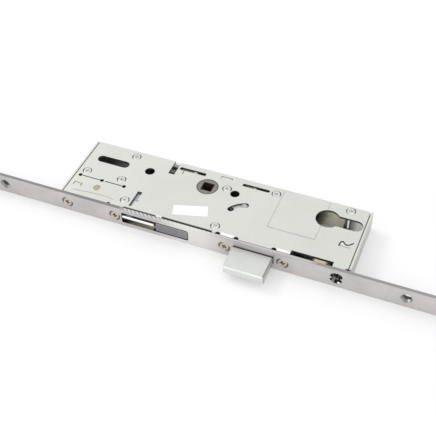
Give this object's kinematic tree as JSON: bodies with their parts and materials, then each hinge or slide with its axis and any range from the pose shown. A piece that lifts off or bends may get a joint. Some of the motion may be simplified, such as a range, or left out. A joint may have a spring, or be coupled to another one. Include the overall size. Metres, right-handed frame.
{
  "type": "multipoint door lock",
  "caption": "Centre section of a multipoint door lock: faceplate, case, thrown deadbolt, flush latch, follower with toothed sector, rack slide, drive rods and rollers.",
  "frame": {"origin": "spindle axis at the middle of the case's thickness", "axes": "+X along the faceplate towards the lower end of the lock, +Y from the faceplate into the door, +Z out of the case's cover"},
  "size_m": [0.46, 0.083, 0.016],
  "materials": {
    "faceplate_steel": "brushed along its length, semi-matt",
    "case_zinc": "zinc plated sheet, satin",
    "cover_zinc": "zinc plated sheet, satin",
    "bright_screws": "bright nickel",
    "bright_pins": "bright turned steel",
    "chromed": "polished",
    "block_steel": "plain steel, dull",
    "rod_steel": "zinc plated strip, dull",
    "latch_grey": "dark sintered steel, matt",
    "bolt_nickel": "satin nickel",
    "blued_zinc": "blue passivated zinc",
    "cast_zinc": "raw zinc casting, matt",
    "brass": "plain",
    "spring_steel": "bright wire"
  },
  "bodies": {
    "case": {"faceplate": "faceplate_steel", "case_body": "case_zinc", "cover_plate": "cover_zinc", "cover_screws": "bright_screws", "case_pillars": "bright_pins", "faceplate_screws": "bright_screws", "fixing_blocks": "block_steel", "cylinder_collar": "case_zinc", "latch_guide": "case_zinc", "spring_bracket": "case_zinc", "lift_spring": "spring_steel", "rod_guides": "case_zinc", "lever_pivot": "bright_pins", "guide_rivet": "brass"},
    "follower": {"follower_hub": "cast_zinc"},
    "drive": {"drive_slide": "block_steel", "drive_rack": "block_steel", "drive_rivets": "bright_pins", "upper_connector": "brass", "lower_connector": "brass", "upper_rod": "rod_steel", "lower_rod": "rod_steel", "upper_stud": "bright_pins", "lower_stud": "bright_pins"},
    "roller_up": {"upper_roller": "chromed"},
    "roller_down": {"lower_roller": "chromed"},
    "thrust": {"thrust_slide": "cast_zinc", "return_spring": "spring_steel"},
    "latch": {"latch_bolt": "latch_grey", "latch_tail": "bright_pins", "latch_spring": "spring_steel"},
    "trigger": {"trigger_bar": "chromed", "trigger_slide": "blued_zinc", "trigger_spring": "spring_steel"},
    "bolt": {"deadbolt": "bolt_nickel", "deadbolt_tail": "block_steel", "tail_rivets": "bright_pins"},
    "lever": {"deadbolt_lever": "case_zinc", "lever_pins": "bright_pins"}
  },
  "joints": [
    {"name": "follower_turn", "type": "hinge", "parent": "case", "child": "follower", "pos_m": [0, 0, 0], "axis": [0, 0, 1], "range_deg": [-44.01, 0]},
    {"name": "drive_travel", "type": "slide", "parent": "case", "child": "drive", "axis": [1, 0, 0], "range_m": [-0.01536, 0], "stiffness_N_per_m": 2250, "springref_m": 0.003},
    {"name": "roller_up_spin", "type": "hinge", "parent": "drive", "child": "roller_up", "pos_m": [-0.19, -0.049, 0], "axis": [0, 1, 0], "continuous": true},
    {"name": "roller_down_spin", "type": "hinge", "parent": "drive", "child": "roller_down", "pos_m": [0.215, -0.049, 0], "axis": [0, 1, 0], "continuous": true},
    {"name": "thrust_travel", "type": "slide", "parent": "case", "child": "thrust", "axis": [1, 0, 0], "range_m": [0, 0.00923], "deforming": ["return_spring"]},
    {"name": "latch_travel", "type": "slide", "parent": "case", "child": "latch", "axis": [0, -1, 0], "range_m": [0, 0.012], "deforming": ["latch_spring"]},
    {"name": "trigger_press", "type": "slide", "parent": "case", "child": "trigger", "axis": [0, 1, 0], "range_m": [0, 0.0035], "stiffness_N_per_m": 300, "springref_m": -0.001, "deforming": ["trigger_spring"]},
    {"name": "deadbolt_travel", "type": "slide", "parent": "case", "child": "bolt", "axis": [0, 1, 0], "range_m": [0, 0.0205]},
    {"name": "lever_swing", "type": "hinge", "parent": "case", "child": "lever", "pos_m": [0.0375, -0.0227, 0], "axis": [0, 0, 1], "range_deg": [0, 42.01]}
  ],
  "couplings": [
    {"joint": "follower_turn", "follows": "drive_travel", "rad_per_m": 50},
    {"joint": "thrust_travel", "follows": "drive_travel", "ratio": -0.6},
    {"joint": "lever_swing", "follows": "deadbolt_travel", "rad_per_m": 35.758}
  ]
}
